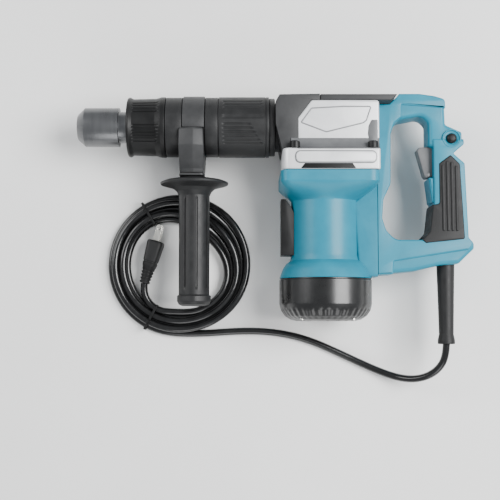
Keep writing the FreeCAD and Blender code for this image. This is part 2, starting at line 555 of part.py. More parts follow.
def make_handle():
    rooms = [block("switch_room", ("163.5", "184"), ("15", "58"), ("mid_z - 12", "mid_z + 12")),
             block("trigger_room", ("150", "168"), ("29", "63.5"),
                   ("mid_z - trigger_half - 0.4", "mid_z + trigger_half + 0.4")),
             rod("lock_room", "z", "lock_radius + 0.15", "mid_z - 12", "mid_z + 30",
                 ("lock_x", "lock_y", "0")),
             rod("guard_room", "y", "guard_radius + 0.1", "-62", "guard_top + 0.1",
                 ("guard_x", "0", "mid_z")),
             rod("guard_flange_room", "y", "guard_radius + 3.1", "guard_top - 4.1",
                 "guard_top + 0.1", ("guard_x", "0", "mid_z")),
             rod("trigger_pin_hole", "z", "1.5", "mid_z - 14", "mid_z + 14",
                 ("trigger_pin_x + 6.4", "trigger_pin_y", "0"))]
    lock_dish = rod("lock_dish", "z", "9", "mid_z + shell_half - 1.5", "mid_z + 30",
                    ("lock_x", "lock_y", "0"))
    screw_rooms = [rod("screw_room_%d" % i, "z", "2.1", "mid_z - 16", "mid_z + 13",
                       (x, y, "0")) for i, (x, y) in enumerate(HANDLE_SCREWS)]
    head_rooms = [rod("screw_head_room_%d" % i, "z", "3.9", "mid_z - 19", "mid_z - 14",
                      (x, y, "0")) for i, (x, y) in enumerate(HANDLE_SCREWS)]
    halves = {"left": ("mid_z", "mid_z + shell_half", "mid_z + 14", "mid_z + shell_half + 2"),
              "right": ("mid_z - shell_half", "mid_z", "mid_z - shell_half - 2", "mid_z - 14")}
    pads = []
    for side, (low, high, pad_low, pad_high) in halves.items():
        outer = plate("shell_outer_" + side, "z", HANDLE_OUTLINE, low, high)
        hand = plate("hand_opening_" + side, "z", HAND_OPENING, "mid_z - 20", "mid_z + 20")
        recess = plate("grip_recess_" + side, "z", GRIP_OUTLINE, pad_low, pad_high)
        extra = [lock_dish] if side == "left" else head_rooms
        keep("handle_%s_shell" % side, less("handle_%s_shell" % side, outer, hand, recess,
                                            *rooms, *screw_rooms, *extra))
        pads.append(plate("grip_pad_" + side, "z", GRIP_OUTLINE, pad_low, pad_high))
    front_lip = [(155.7, 27), (160.4, 27), (160.4, -24.1, 3), (156.5, -28), (155.7, -26)]
    pads.append(plate("grip_front_lip", "z", front_lip, "mid_z - 15", "mid_z + 15"))
    keep("rubber_grip", joined("rubber_grip", *pads))
    screws = []
    for i, (x, y) in enumerate(HANDLE_SCREWS):
        shank = rod("handle_screw_shank_%d" % i, "z", "2", "mid_z - 15", "mid_z + 12",
                    (x, y, "0"))
        head = rod("handle_screw_head_%d" % i, "z", "3.8", "mid_z - 17", "mid_z - 14",
                   (x, y, "0"))
        screws.append(joined("handle_screw_%d" % i, shank, head))
    group("handle_screws", screws)


def make_controls():
    outline = [(145.2, 58.5, 2), (150, 61.5, 2), (162, 62, 1), (162, 31, 1), (153.5, 30.3, 2),
               (151.8, 32.5, 1.5)]
    lever = plate("trigger_lever", "z", outline, "mid_z - trigger_half", "mid_z + trigger_half")
    hole = rod("trigger_hole", "z", "1.55", "mid_z - 10", "mid_z + 10",
               ("trigger_pin_x", "trigger_pin_y", "0"))
    keep("trigger", less("trigger", lever, hole))
    keep("trigger_pin", rod("trigger_pin", "z", "1.5", "mid_z - 8.3", "mid_z + 8.3",
                            ("trigger_pin_x", "trigger_pin_y", "0")))
    keep("switch_body", block("switch_body", ("168.5", "183"), ("17", "54"),
                              ("mid_z - 11", "mid_z + 11")))
    keep("lock_button", rod("lock_button", "z", "lock_radius", "mid_z + 2",
                            "mid_z + shell_half + 1.5", ("lock_x", "lock_y", "0")))
    spring("lock_spring", "z", 3.2, 0.5, size["mid_z"] - 10.8, size["mid_z"] + 1.3, 6,
           (size["lock_x"], size["lock_y"], 0))


def make_cord_guard():
    outline = [("guard_top", "0"), ("guard_top", "guard_radius + 3"),
               ("guard_top - 4", "guard_radius + 3"), ("guard_top - 4", "guard_radius"),
               ("guard_tip + 8", "guard_radius - 1.5"), ("guard_tip + 3", "guard_radius - 0.4"),
               ("guard_tip", "guard_radius - 0.8"), ("guard_tip", "0")]
    keep("cord_guard", turned("cord_guard", "y", outline, ("guard_x", "0", "mid_z")))


# ---------------------------------------------------------------- cord

LEAD_ROUTE = [(174.3, -138.3, 47), (173.9, -151.3, 45.2), (167.8, -163.8, 39.6),
              (157.1, -172.2, 31.1), (143.6, -175.6, 21.3), (128.4, -173.8, 12.0),
              (110.2, -167.4, 6.2), (88.5, -157.8, 3.75), (64, -146.3, 3.75),
              (38.5, -135.4, 3.75), (12, -128.4, 3.75), (-15, -125.6, 3.75),
              (-42, -125.9, 3.75), (-69, -128.0, 3.75), (-96, -128.6, 3.75)]
TAIL_ROUTE = [(-113.1, -105.5, 9.95), (-120.3, -103.8, 10.2), (-126.6, -100.3, 10.2),
              (-131.6, -95.4, 10.2), (-135.1, -89.2, 10.4), (-136.6, -82.3, 11.1),
              (-136.0, -75.4, 12)]
TIES = [(121, 49), (242, 47.7)]          # the angle of each tie, and where the coil starts there
PLUG_START = FreeCAD.Vector(*TAIL_ROUTE[-1])
PLUG_HEADING = 74.5
PLUG_NECK = 16
PLUG_LENGTH = 46
PLUG_WIDTH = 24
PLUG_THICKNESS = 15
BLADE_LENGTH = 17.5
BLADE_WIDTH = 6.4
BLADE_THICKNESS = 1.5
BLADE_SPACING = 12.7


def cord_tube(name, route):
    """A round tube of straight runs joined by tangent arcs as large as the runs allow."""
    points = [FreeCAD.Vector(*spot) for spot in route]
    edges = []
    radii = []
    start = points[0]
    for before, corner, after in zip(points, points[1:], points[2:]):
        inwards = (corner - before).normalize()
        outwards = (after - corner).normalize()
        half_turn = inwards.getAngle(outwards) / 2
        reach = 0.45 * min(before.distanceToPoint(corner), corner.distanceToPoint(after))
        radius = reach / math.tan(half_turn)
        radii.append(round(radius, 1))
        entry = corner - inwards * reach
        leave = corner + outwards * reach
        towards_centre = (outwards - inwards).normalize()
        middle = corner + towards_centre * (radius / math.cos(half_turn) - radius)
        edges.append(Part.LineSegment(start, entry).toShape())
        edges.append(Part.Arc(entry, middle, leave).toShape())
        start = leave
    edges.append(Part.LineSegment(start, points[-1]).toShape())
    path = Part.Wire(edges)
    section = Part.Wire(Part.makeCircle(size["cord_radius"], points[0], points[1] - points[0]))
    item = doc.addObject("Part::Feature", name)
    item.Shape = path.makePipeShell([section], True, False)
    expected = math.pi * size["cord_radius"] ** 2 * path.Length
    print(name, "radii", radii, "length %.1f" % path.Length,
          "volume ratio %.4f" % (item.Shape.Volume / expected))
    keep(name, item)


def make_cord():
    cord_tube("cord_lead", LEAD_ROUTE)
    cord_tube("cord_tail", TAIL_ROUTE)
    outer = rod("coil_outside", "z", "coil_outer", "0", "coil_height", ("coil_x", "coil_y", "0"))
    inner = rod("coil_inside", "z", "coil_inner", "-1", "coil_height + 1",
                ("coil_inner_x", "coil_inner_y", "0"))
    keep("cord_coil", less("cord_coil", outer, inner))
    ties = []
    for i, (angle, inside) in enumerate(TIES):
        strap = block("tie_strap_%d" % i, (inside - 1, "coil_outer + 1.5"), ("-1.5", "1.5"),
                      ("0", "coil_height + 1"))
        room = block("tie_room_%d" % i, (inside, "coil_outer + 0.5"), ("-3", "3"),
                     ("-1", "coil_height"))
        tie = less("tie_%d" % i, strap, room)
        tie.Placement = FreeCAD.Placement(
            FreeCAD.Vector(size["coil_x"], size["coil_y"], 0),
            FreeCAD.Rotation(FreeCAD.Vector(0, 0, 1), angle))
        ties.append(tie)
    group("cord_ties", ties)
    make_plug()


def make_plug():
    """The plug lies on its edge, so that its two flat blades are one above the other."""
    turn = FreeCAD.Placement(PLUG_START, FreeCAD.Rotation(FreeCAD.Vector(0, 0, 1), PLUG_HEADING))
    neck = Part.makeCone(5.5, 6.5, PLUG_NECK, FreeCAD.Vector(0, 0, 0), FreeCAD.Vector(1, 0, 0))
    corner = FreeCAD.Vector(PLUG_NECK - 0.5, -PLUG_THICKNESS / 2, -PLUG_WIDTH / 2)
    shoulder = Part.makeBox(PLUG_LENGTH - PLUG_NECK + 0.5, PLUG_THICKNESS, PLUG_WIDTH, corner)
    shoulder = shoulder.makeFillet(3, shoulder.Edges)
    body = doc.addObject("Part::Feature", "plug_body")
    body.Shape = neck.fuse(shoulder)
    body.Placement = turn
    keep("plug_body", body)
    blades = []
    for i, height in enumerate((-BLADE_SPACING / 2, BLADE_SPACING / 2)):
        corner = FreeCAD.Vector(PLUG_LENGTH, -BLADE_WIDTH / 2, height - BLADE_THICKNESS / 2)
        blade = Part.makeBox(BLADE_LENGTH, BLADE_WIDTH, BLADE_THICKNESS, corner)
        hole = Part.makeCylinder(1.5, 5, FreeCAD.Vector(PLUG_LENGTH + 13.5, 0, height - 2))
        item = doc.addObject("Part::Feature", "plug_blade_%d" % i)
        item.Shape = blade.cut(hole)
        item.Placement = turn
        blades.append(item)
    group("plug_blades", blades)


# ---------------------------------------------------------------- build, test and write

for make in (make_tool_holder, make_change_ring, make_barrel, make_side_handle, make_mechanism,
             make_crank, make_gear_housing, make_covers, make_motor_shells, make_motor_parts,
             make_handle, make_controls, make_cord_guard, make_cord):
    make()
doc.recompute()

for item in doc.Objects:
    if "Invalid" in item.State or "Error" in item.State:
        raise SystemExit("%s (%s) failed: %s" % (item.Name, item.Label, item.State))
os.makedirs("parts", exist_ok=True)
for name, item in nodes.items():
    if item.Shape.isNull() or not item.Shape.isValid() or not item.Shape.Solids:
        raise SystemExit("%s has no valid solid" % name)
for name, item in nodes.items():
    item.Shape.exportStep("parts/%s.step" % name)
print(len(nodes), "nodes")
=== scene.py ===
"""The looks of the demolition hammer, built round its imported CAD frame.

Lengths are written in millimetres and scaled by MM.  The tool lies on its side: X runs from the
nose (-X) to the handle (+X), Y runs along the motor towards the gear housing, and Z is up.
"""
import bmesh
import bpy
import json
import math
from mathutils import Matrix, Vector


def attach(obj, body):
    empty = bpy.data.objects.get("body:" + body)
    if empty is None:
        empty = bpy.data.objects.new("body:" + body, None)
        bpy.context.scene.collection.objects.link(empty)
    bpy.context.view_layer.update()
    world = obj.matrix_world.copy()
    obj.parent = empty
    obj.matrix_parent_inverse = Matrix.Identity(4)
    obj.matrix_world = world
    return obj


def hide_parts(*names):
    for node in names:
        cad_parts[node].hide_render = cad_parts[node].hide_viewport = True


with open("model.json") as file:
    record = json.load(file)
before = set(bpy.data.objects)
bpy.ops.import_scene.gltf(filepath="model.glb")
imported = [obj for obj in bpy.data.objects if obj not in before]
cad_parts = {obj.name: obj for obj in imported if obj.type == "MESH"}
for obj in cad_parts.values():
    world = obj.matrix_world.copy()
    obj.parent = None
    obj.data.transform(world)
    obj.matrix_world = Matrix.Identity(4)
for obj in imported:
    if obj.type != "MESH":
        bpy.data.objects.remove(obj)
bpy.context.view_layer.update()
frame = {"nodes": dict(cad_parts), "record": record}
NODES = frame["nodes"]
BODIES = frame["record"]["behaviour"]["bodies"]
MM = 0.001
TO_METRES = Matrix.Diagonal((MM, MM, MM, 1))
MID = 47                # height of the middle plane, which both main axes lie in
BIT = (0, 83.5, MID)    # a point on the bit axis, which runs along X
MOTOR = (52, 0, MID)    # a point on the motor axis, which runs along Y
SIDE = (-81.8, 0, MID)  # a point on the side grip's axis, which runs along Y


# ---------------------------------------------------------------- camera, light and floor

def add_camera():
    """Looks straight down from about a metre above, turned only slightly."""
    data = bpy.data.cameras.new("camera")
    data.lens = 70.56
    data.sensor_width = 36
    camera = bpy.data.objects.new("camera", data)
    eye = Vector((-24.8, -112.55, 1044.6)) * MM
    target = Vector((-24.8, -42.75, 47)) * MM
    camera.location = eye
    camera.rotation_euler = (target - eye).to_track_quat("-Z", "Y").to_euler()
    bpy.context.scene.collection.objects.link(camera)
    bpy.context.scene.camera = camera


def add_lamp(name, place, aim, width, power):
    data = bpy.data.lights.new(name, "AREA")
    data.shape = "SQUARE"
    data.size = width
    data.energy = power
    lamp = bpy.data.objects.new(name, data)
    lamp.location = place
    lamp.rotation_euler = (Vector(aim) - Vector(place)).to_track_quat("-Z", "Y").to_euler()
    bpy.context.scene.collection.objects.link(lamp)


def add_studio():
    world = bpy.data.worlds.new("studio")
    world.use_nodes = True
    sky = world.node_tree.nodes["Background"]
    sky.inputs["Color"].default_value = (0.93, 0.96, 1, 1)
    sky.inputs["Strength"].default_value = 0.6
    bpy.context.scene.world = world
    add_lamp("key", (1.1, 0.15, 1.5), (0.02, 0, 0), 1.1, 68)
    add_lamp("left_fill", (-1.4, 0.6, 1.0), (0, 0, 0), 1.0, 20)
    add_lamp("front_fill", (0.1, -1.6, 0.9), (0, 0, 0), 1.0, 11)
    mesh = bpy.data.meshes.new("floor")
    reach = 30
    below = -0.0002     # just under the lowest part, so that the two faces never coincide
    mesh.from_pydata([(x * reach, y * reach, below) for x, y in
                      ((-1, -1), (1, -1), (1, 1), (-1, 1))], [], [(0, 1, 2, 3)])
    floor = bpy.data.objects.new("floor", mesh)
    bpy.context.scene.collection.objects.link(floor)
    mesh.materials.append(surface("floor_paper", (0.76, 0.76, 0.75), (0.81, 0.81, 0.80),
                                  (0.85, 0.95), clouds=3, grain=300, bump=0.05))


# ---------------------------------------------------------------- materials

GRAIN_DEPTH = 0.0003    # metres


def surface(name, dark, light, rough, metallic=0.0, clouds=60, grain=1500, bump=0.15,
            stretch=(1, 1, 1), coat=0.0, shine=0.5, speckle=None):
    """A plastic, metal or rubber finish with uneven colour and gloss and a fine grain."""
    made = bpy.data.materials.new(name)
    made.use_nodes = True
    tree = made.node_tree
    shader = tree.nodes["Principled BSDF"]
    shader.inputs["Metallic"].default_value = metallic
    shader.inputs["Coat Weight"].default_value = coat
    shader.inputs["Coat Roughness"].default_value = 0.12
    shader.inputs["Specular IOR Level"].default_value = shine

    def node(kind, **settings):
        item = tree.nodes.new(kind)
        for key, value in settings.items():
            if key in item.inputs:
                item.inputs[key].default_value = value
            else:
                setattr(item, key, value)
        return item

    link = tree.links.new
    where = node("ShaderNodeTexCoord")
    mapping = node("ShaderNodeMapping", Scale=stretch)
    link(where.outputs["Object"], mapping.inputs["Vector"])
    cloud = node("ShaderNodeTexNoise", Scale=clouds, Detail=4.0, Roughness=0.6)
    link(mapping.outputs["Vector"], cloud.inputs["Vector"])
    ramp = node("ShaderNodeValToRGB")
    ramp.color_ramp.elements[0].position = 0.32
    ramp.color_ramp.elements[1].position = 0.68
    ramp.color_ramp.elements[0].color = (*dark, 1)
    ramp.color_ramp.elements[1].color = (*light, 1)
    link(cloud.outputs["Fac"], ramp.inputs["Fac"])
    fine = node("ShaderNodeTexNoise", Scale=grain, Detail=2.0, Roughness=0.5)
    link(mapping.outputs["Vector"], fine.inputs["Vector"])
    colour = ramp.outputs["Color"]
    if speckle:
        specks = node("ShaderNodeValToRGB")
        specks.color_ramp.elements[0].position = 0.6
        specks.color_ramp.elements[1].position = 0.75
        link(fine.outputs["Fac"], specks.inputs["Fac"])
        mix = node("ShaderNodeMix", data_type="RGBA")
        link(specks.outputs["Color"], mix.inputs["Factor"])
        link(colour, mix.inputs["A"])
        mix.inputs["B"].default_value = (*speckle, 1)
        colour = mix.outputs["Result"]
    link(colour, shader.inputs["Base Color"])
    gloss = node("ShaderNodeMapRange")
    gloss.inputs["From Min"].default_value = 0.3
    gloss.inputs["From Max"].default_value = 0.7
    gloss.inputs["To Min"].default_value = rough[0]
    gloss.inputs["To Max"].default_value = rough[1]
    link(cloud.outputs["Fac"], gloss.inputs["Value"])
    link(gloss.outputs["Result"], shader.inputs["Roughness"])
    relief = node("ShaderNodeBump", Strength=bump, Distance=GRAIN_DEPTH)
    link(fine.outputs["Fac"], relief.inputs["Height"])
    link(relief.outputs["Normal"], shader.inputs["Normal"])
    return made


def grey(value, tint=1.0):
    return (value, value * (1 + 0.02 * tint), value * (1 + 0.05 * tint))


TEAL = surface("teal_moulding", (0.006, 0.165, 0.245), (0.009, 0.195, 0.285), (0.36, 0.44),
               clouds=45, grain=1900, bump=0.10, coat=0.04, shine=0.3)
BLACK = surface("black_moulding", grey(0.004), grey(0.007), (0.38, 0.50), grain=1700, bump=0.22,
                shine=0.25)
GLOSS = surface("glossy_black", grey(0.004), grey(0.007), (0.26, 0.34), grain=1500, bump=0.04,
                coat=0.15)
CHARCOAL = surface("charcoal_moulding", grey(0.011), grey(0.017), (0.40, 0.52), clouds=90,
                   grain=1500, bump=0.30, shine=0.28)
SLATE = surface("slate_moulding", grey(0.026), grey(0.036), (0.42, 0.55), clouds=70,
                grain=1500, bump=0.25, shine=0.3)
SILVER = surface("silver_paint", (0.66, 0.67, 0.68), (0.74, 0.75, 0.76), (0.30, 0.40),
                 metallic=0.2, clouds=50, grain=2600, bump=0.10, speckle=(0.82, 0.83, 0.84))
# Dark grey used only as painted shade: on the concave skirt under the housing's sides and on the
# sheet over the housing's recess.
SHADE_GREY = surface("painted_shade_grey", (0.10, 0.103, 0.107), (0.13, 0.133, 0.137), (0.38, 0.48),
                metallic=0.2, grain=2200, bump=0.12, shine=0.3)
# Pewter grey: the badge's outline line on the housing, and also the painted shadow line round the
# flange's bar.
PEWTER_LINE_AND_SHADE = surface("pewter_line_and_painted_shade", (0.17, 0.173, 0.18), (0.21, 0.214, 0.22), (0.38, 0.48),
                 metallic=0.3, grain=2200, bump=0.12)
CASTING = surface("dark_casting", grey(0.035), grey(0.055), (0.40, 0.55), metallic=0.5,
                  grain=900, bump=0.35, speckle=grey(0.08))
DARK_STEEL = surface("black_steel", grey(0.11), grey(0.15), (0.24, 0.36), metallic=0.85,
                     clouds=80, grain=1200, bump=0.12, stretch=(1, 0.15, 0.15))
STEEL = surface("steel", (0.50, 0.51, 0.52), (0.60, 0.61, 0.62), (0.22, 0.36), metallic=1.0,
                clouds=120, grain=1500, bump=0.12, stretch=(0.2, 1, 1))
RUBBER = surface("rubber", grey(0.006), grey(0.011), (0.46, 0.60), clouds=90, grain=1100,
                 bump=0.40, shine=0.3)
CORD = surface("cord_jacket", grey(0.004), grey(0.008), (0.14, 0.22), clouds=120, grain=900,
               bump=0.08)
COPPER = surface("copper_wire", (0.62, 0.25, 0.12), (0.75, 0.33, 0.17), (0.25, 0.4),
                 metallic=1.0, clouds=300, grain=500, bump=0.5, stretch=(1, 4, 1))
BRASS = surface("brass", (0.60, 0.42, 0.16), (0.70, 0.50, 0.22), (0.25, 0.38), metallic=1.0)
CARBON = surface("carbon", grey(0.02, 0), grey(0.035, 0), (0.5, 0.7), grain=2500, bump=0.3)
BLADE = surface("blade_metal", (0.74, 0.72, 0.66), (0.84, 0.82, 0.76), (0.18, 0.30),
                metallic=1.0, clouds=200, grain=1500, bump=0.08, stretch=(1, 0.2, 1))
# Mid grey for the trigger: a darker moulding lifted by a painted sheen that stands in for the
# highlight on its face.
TRIGGER_GREY_AND_SHEEN = surface("trigger_grey_and_painted_sheen", grey(0.10), grey(0.13), (0.42, 0.52), clouds=70, grain=1500,
              bump=0.2, shine=0.4)
ZINC = surface("zinc_screw", (0.42, 0.42, 0.40), (0.55, 0.55, 0.52), (0.28, 0.4), metallic=1.0)

NODE_MATERIALS = {
    "tool_holder": DARK_STEEL, "retaining_pin": STEEL, "change_ring": BLACK,
    "ring_spring": STEEL, "barrel": CHARCOAL, "barrel_sleeve": CHARCOAL,
    "clamp_band": SLATE, "clamp_block": SLATE, "clamp_stud": STEEL, "side_grip": CHARCOAL,
    "cylinder": STEEL, "cylinder_guide": CASTING, "impact_bolt": STEEL, "striker": STEEL,
    "striker_seal": RUBBER, "piston": STEEL, "piston_seal": RUBBER, "wrist_pin": STEEL,
    "connecting_rod": STEEL, "crankshaft": STEEL, "crank_gear": STEEL, "crank_bearing": STEEL,
    "gear_housing": SILVER, "flange_bolts": DARK_STEEL, "front_cover": SLATE,
    "top_cover": SLATE, "motor_housing": TEAL, "motor_end_cover": GLOSS,
    "end_cover_screws": ZINC, "vent_grille": BLACK, "field_core": STEEL,
    "field_windings": COPPER, "armature_shaft": STEEL, "armature_core": STEEL,
    "armature_windings": COPPER, "commutator": COPPER, "fan": BLACK,
    "armature_bearings": STEEL, "brush_ring": BLACK, "brush_holders": BRASS,
    "carbon_brushes": CARBON, "handle_left_shell": TEAL, "handle_right_shell": TEAL,
    "rubber_grip": RUBBER, "handle_screws": ZINC, "trigger": SLATE, "trigger_pin": DARK_STEEL,
    "switch_body": BLACK, "lock_button": GLOSS, "lock_spring": STEEL, "cord_guard": RUBBER,
    "cord_lead": CORD, "cord_coil": CORD, "cord_tail": CORD, "cord_ties": BLACK,
    "plug_body": RUBBER, "plug_blades": BLADE,
}
BODY_OF = {node: body for body, members in BODIES.items() for node in members}


def paint_nodes():
    for node, finish in NODE_MATERIALS.items():
        item = NODES[node]
        item.data.materials.clear()
        item.data.materials.append(finish)
        for face in item.data.polygons:
            face.use_smooth = True
        item.data.set_sharp_from_angle(angle=math.radians(30))


# ---------------------------------------------------------------- making pieces

def piece(name, mesh, finish, rides, replaced=()):
    """A mesh as a piece of the object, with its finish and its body."""
    mesh.materials.clear()
    mesh.materials.append(finish)
    for face in mesh.polygons:
        face.use_smooth = True
    mesh.set_sharp_from_angle(angle=math.radians(35))
    item = bpy.data.objects.new(name, mesh)
    bpy.context.scene.collection.objects.link(item)
    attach(item, rides)
    if replaced:
        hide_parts(*replaced)
    return item


def mesh_of(name, work):
    mesh = bpy.data.meshes.new(name)
    bmesh.ops.recalc_face_normals(work, faces=work.faces)
    work.to_mesh(mesh)
    work.free()
    return mesh


def evaluated(item):
    """The item's mesh with its modifiers or curve settings applied; the item is removed."""
    bpy.context.view_layer.update()
    graph = bpy.context.evaluated_depsgraph_get()
    mesh = bpy.data.meshes.new_from_object(item.evaluated_get(graph))
    mesh.transform(item.matrix_world)
    bpy.data.objects.remove(item)
    return mesh


CORNER_STEPS = 5        # straight runs in each rounded corner


def rounded(points, closed=True):
    """Points with their corners cut round: each corner is (x, y) or (x, y, radius)."""
    spots = [Vector(p[:2]) for p in points]
    radii = [p[2] if len(p) > 2 else 0 for p in points]
    count = len(spots)
    made = []
    for i, corner in enumerate(spots):
        inner = closed or 0 < i < count - 1
        if not radii[i] or not inner:
            made.append(corner)
            continue
        before = (spots[i - 1] - corner).normalized()
        after = (spots[(i + 1) % count] - corner).normalized()
        half = before.angle(after) / 2
        reach = radii[i] / math.tan(half)
        centre = corner + (before + after).normalized() * radii[i] / math.sin(half)
        first = corner + before * reach - centre
        turn = first.angle_signed(corner + after * reach - centre)
        for k in range(CORNER_STEPS + 1):
            made.append(centre + Matrix.Rotation(-turn * k / CORNER_STEPS, 2) @ first)
    return made


def join_rings(work, rings, closed=False):
    """Faces from each ring of corners to the next."""
    for low, high in zip(rings, rings[1:] + rings[:1] if closed else rings[1:]):
        count = len(low)
        for k in range(count):
            after = (k + 1) % count
            corners = list(dict.fromkeys([low[k], low[after], high[after], high[k]]))
            if len(corners) > 2:
                work.faces.new(corners)


def turned(along, centre, outline, closed=False, steps=96, shape=None, spacing=None):
    """A mesh of revolution.  The outline is (place along the axis, radius) pairs."""
    line = rounded(outline, closed)
    if spacing:
        dense = []
        for a, b in zip(line, line[1:] + line[:1] if closed else line[1:]):
            parts = max(1, int((b - a).length / spacing))
            dense += [a.lerp(b, k / parts) for k in range(parts)]
        line = dense if closed else dense + [line[-1]]
    work = bmesh.new()
    rings = []
    for place, radius in line:
        if radius < 0.001:
            spot = (place, 0, 0)
            rings.append([work.verts.new(spot)] * steps)
            continue
        ring = []
        for k in range(steps):
            angle = 2 * math.pi * k / steps
            p, r = shape(place, radius, angle) if shape else (place, radius)
            ring.append(work.verts.new((p, r * math.cos(angle), r * math.sin(angle))))
        rings.append(ring)
    join_rings(work, rings, closed)
    mesh = mesh_of("turned", work)
    to_axis = {"x": Matrix.Identity(4), "y": Matrix.Rotation(math.pi / 2, 4, "Z"),
               "z": Matrix.Rotation(-math.pi / 2, 4, "Y")}[along]
    mesh.transform(TO_METRES @ Matrix.Translation(centre) @ to_axis)
    return mesh


def slab(outline, low, high, edge, holes=(), normal="z", soft=3, inset=0.0):
    """A plate with rounded edges.  Its outline lies across the normal, drawn in by the inset."""
    data = bpy.data.curves.new("slab", "CURVE")
    data.dimensions = "2D"
    data.fill_mode = "BOTH"
    data.extrude = (high - low) / 2 - edge
    data.bevel_depth = edge
    data.bevel_resolution = soft
    data.offset = -edge - inset
    for ring in (outline, *holes):
        line = rounded(ring)
        spline = data.splines.new("POLY")
        spline.points.add(len(line) - 1)
        for point, spot in zip(spline.points, line):
            point.co = (spot.x, spot.y, 0, 1)
        spline.use_cyclic_u = True
    item = bpy.data.objects.new("slab", data)
    bpy.context.scene.collection.objects.link(item)
    middle = (low + high) / 2
    if normal == "y":
        to_plane, lift = Matrix.Rotation(math.pi / 2, 4, "X"), -middle
    else:
        to_plane, lift = Matrix.Identity(4), middle
    item.matrix_world = TO_METRES @ to_plane @ Matrix.Translation((0, 0, lift))
    mesh = evaluated(item)
    work = bmesh.new()
    work.from_mesh(mesh)
    bmesh.ops.remove_doubles(work, verts=work.verts, dist=1e-6)
    bpy.data.meshes.remove(mesh)
    return mesh_of("slab", work)


def side_slab(outline, sign, base, top, edge, holes=(), soft=3):
    """A slab on one side of the tool, from base to top as measured from the middle plane."""
    low, high = sorted((MID + sign * base, MID + sign * top))
    return slab(outline, low, high, edge, holes, soft=soft)


def merged(*meshes):
    work = bmesh.new()
    for mesh in meshes:
        work.from_mesh(mesh)
        bpy.data.meshes.remove(mesh)
    joined = bpy.data.meshes.new("merged")
    work.to_mesh(joined)
    work.free()
    return joined


def cut_flat(mesh, point, normal):
    """Keeps what lies behind a plane and closes the cut."""
    work = bmesh.new()
    work.from_mesh(mesh)
    everything = work.verts[:] + work.edges[:] + work.faces[:]
    made = bmesh.ops.bisect_plane(work, geom=everything, plane_co=Vector(point) * MM,
                                  plane_no=normal, clear_outer=True)
    rims = [e for e in made["geom_cut"] if isinstance(e, bmesh.types.BMEdge)]
    bmesh.ops.triangle_fill(work, use_beauty=True, edges=rims)
    bpy.data.meshes.remove(mesh)
    return mesh_of("cut", work)


def bevelled(mesh, width, segments, sharp):
    """An object of the mesh, with a modifier that rounds edges sharper than an angle."""
    item = bpy.data.objects.new("bevelled", mesh)
    bpy.context.scene.collection.objects.link(item)
    bevel = item.modifiers.new("bevel", "BEVEL")
    bevel.width = width * MM
    bevel.segments = segments
    bevel.limit_method = "ANGLE"
    bevel.angle_limit = math.radians(sharp)
    return item


def softened(node, width, segments=2):
    """A copy of a CAD node's mesh with its edges rounded."""
    work = bmesh.new()
    work.from_mesh(NODES[node].data)
    bmesh.ops.remove_doubles(work, verts=work.verts, dist=2e-6)
    bmesh.ops.dissolve_limit(work, angle_limit=math.radians(1.5), verts=work.verts,
                             edges=work.edges)
    mesh = mesh_of("soft", work)
    item = bevelled(mesh, width, segments, 30)
    item.modifiers["bevel"].miter_outer = "MITER_ARC"
    made = evaluated(item)
    bpy.data.meshes.remove(mesh)
    return made


def carved(mesh, width, cutter):
    """The mesh with its edges rounded and the cutter's shape taken away."""
    item = bevelled(mesh, width, 2, 12)
    tool = bpy.data.objects.new("cutter", cutter)
    bpy.context.scene.collection.objects.link(tool)
    cut = item.modifiers.new("cut", "BOOLEAN")
    cut.operation = "DIFFERENCE"
    cut.solver = "EXACT"
    cut.object = tool
    result = evaluated(item)
    bpy.data.objects.remove(tool)
    return result


def stand_in(node, mesh, finish):
    """A piece that replaces one CAD node and rides where it rides."""
    return piece(node + "_shape", mesh, finish, BODY_OF[node], [node])


def smooth(share):
    share = min(1.0, max(0.0, share))
    return share * share * (3 - 2 * share)


def between(place, stretch, run):
    """1 inside a stretch of an axis, falling to 0 over a run at each of its ends."""
    return smooth((place - stretch[0]) / run) * smooth((stretch[1] - place) / run)


# ---------------------------------------------------------------- cord

LEAD_ROUTE = [(174.3, -138.3, 47), (173.9, -151.3, 45.2), (167.8, -163.8, 39.6),
              (157.1, -172.2, 31.1), (143.6, -175.6, 21.3), (128.4, -173.8, 12.0),
              (110.2, -167.4, 6.2), (88.5, -157.8, 3.75), (64, -146.3, 3.75),
              (38.5, -135.4, 3.75), (12, -128.4, 3.75), (-15, -125.6, 3.75),
              (-42, -125.9, 3.75), (-69, -128.0, 3.75), (-96, -128.6, 3.75)]
TAIL_ROUTE = [(-113.1, -105.5, 9.95), (-120.3, -103.8, 10.2), (-126.6, -100.3, 10.2),
              (-131.6, -95.4, 10.2), (-135.1, -89.2, 10.4), (-136.6, -82.3, 11.1),
              (-136.0, -75.4, 12)]
CORD_RADIUS = 3.75
COIL_CENTRE = (-99.8, -56)
COIL_REACH = 72.4       # to the middle of the outermost turn
TIGHT_PITCH = 4.2       # from turn to turn where the coil is bunched
LOOSE_EXTRA = 3.3       # how much wider apart the turns lie where they fan out
LOOSE_ANGLE = 50        # where they fan out most, in degrees from +X
LOOSE_SPREAD = 1.3      # how far round the coil they do, and how sharply they begin
LOOSE_POWER = 4
UPPER = 9.95            # middle height of a turn that lies on its neighbours
SWAP = 0.597            # where in each turn the upper and the lower turns change over
CROSSING = 0.04         # half the share of a turn that the change takes
INWARD = 0.78           # where in each turn it steps in by one pitch
TURNS = 5.0
POINTS_PER_TURN = 24


def pitch(angle):
    """Distance to the next turn.  The turns fan out round one side of the coil."""
    off = abs(math.radians((angle - LOOSE_ANGLE + 180) % 360 - 180) / LOOSE_SPREAD)
    return TIGHT_PITCH + LOOSE_EXTRA * max(0.0, math.cos(min(math.pi / 2, off))) ** LOOSE_POWER


